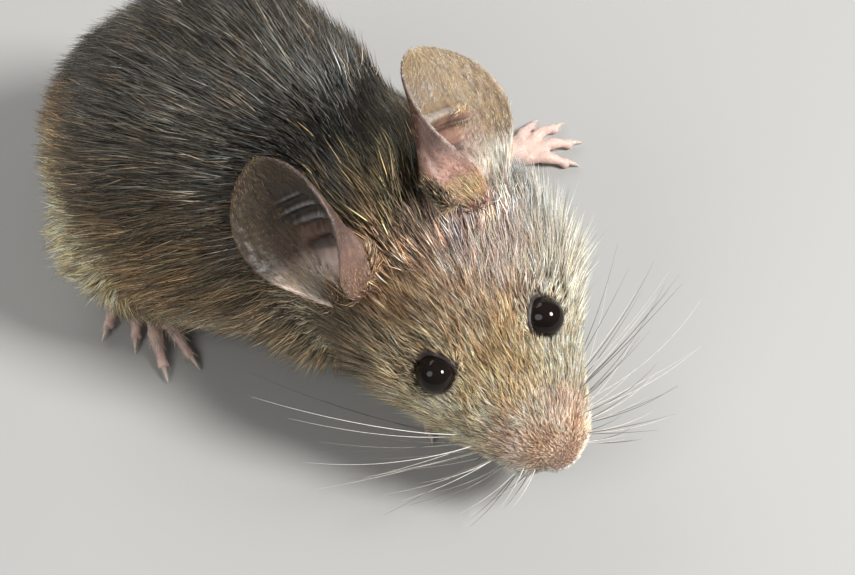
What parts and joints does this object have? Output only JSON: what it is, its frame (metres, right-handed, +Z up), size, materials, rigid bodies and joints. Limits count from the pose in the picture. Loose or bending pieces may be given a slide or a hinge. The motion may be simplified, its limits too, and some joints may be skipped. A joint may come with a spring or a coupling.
{
  "type": "house mouse",
  "caption": "Life-size still house mouse, crouching with its head turned and dipped, one forepaw reaching out and a long tail lying on the floor.",
  "frame": {"origin": "on the floor under the middle of the model's bounding box", "axes": "-Y the way the trunk faces, +X the mouse's left, +Z up"},
  "size_m": [0.0648, 0.0874, 0.0299],
  "materials": {
    "agouti_coat": "short dense fur, dark grey-brown ticked with buff, soft sheen",
    "belly_coat": "short soft cream-buff fur",
    "bare_skin": "thin pinkish skin, almost bare, satin",
    "ear_skin": "thin mauve-brown skin with fine short hairs, satin",
    "eye": "wet glossy black"
  },
  "bodies": {
    "root": {"head": "agouti_coat", "jaw": "belly_coat", "nose": "bare_skin", "neck": "agouti_coat", "trunk": "agouti_coat", "tail_base": "bare_skin", "tail_middle": "bare_skin", "tail_tip": "bare_skin", "foreleg_left": "agouti_coat", "foreleg_right": "agouti_coat", "forefoot_left": "bare_skin", "forefoot_right": "bare_skin", "hindleg_left": "agouti_coat", "hindleg_right": "agouti_coat", "hindfoot_left": "bare_skin", "hindfoot_right": "bare_skin", "ear_left": "ear_skin", "ear_right": "ear_skin", "eye_left": "eye", "eye_right": "eye"}
  },
  "joints": []
}
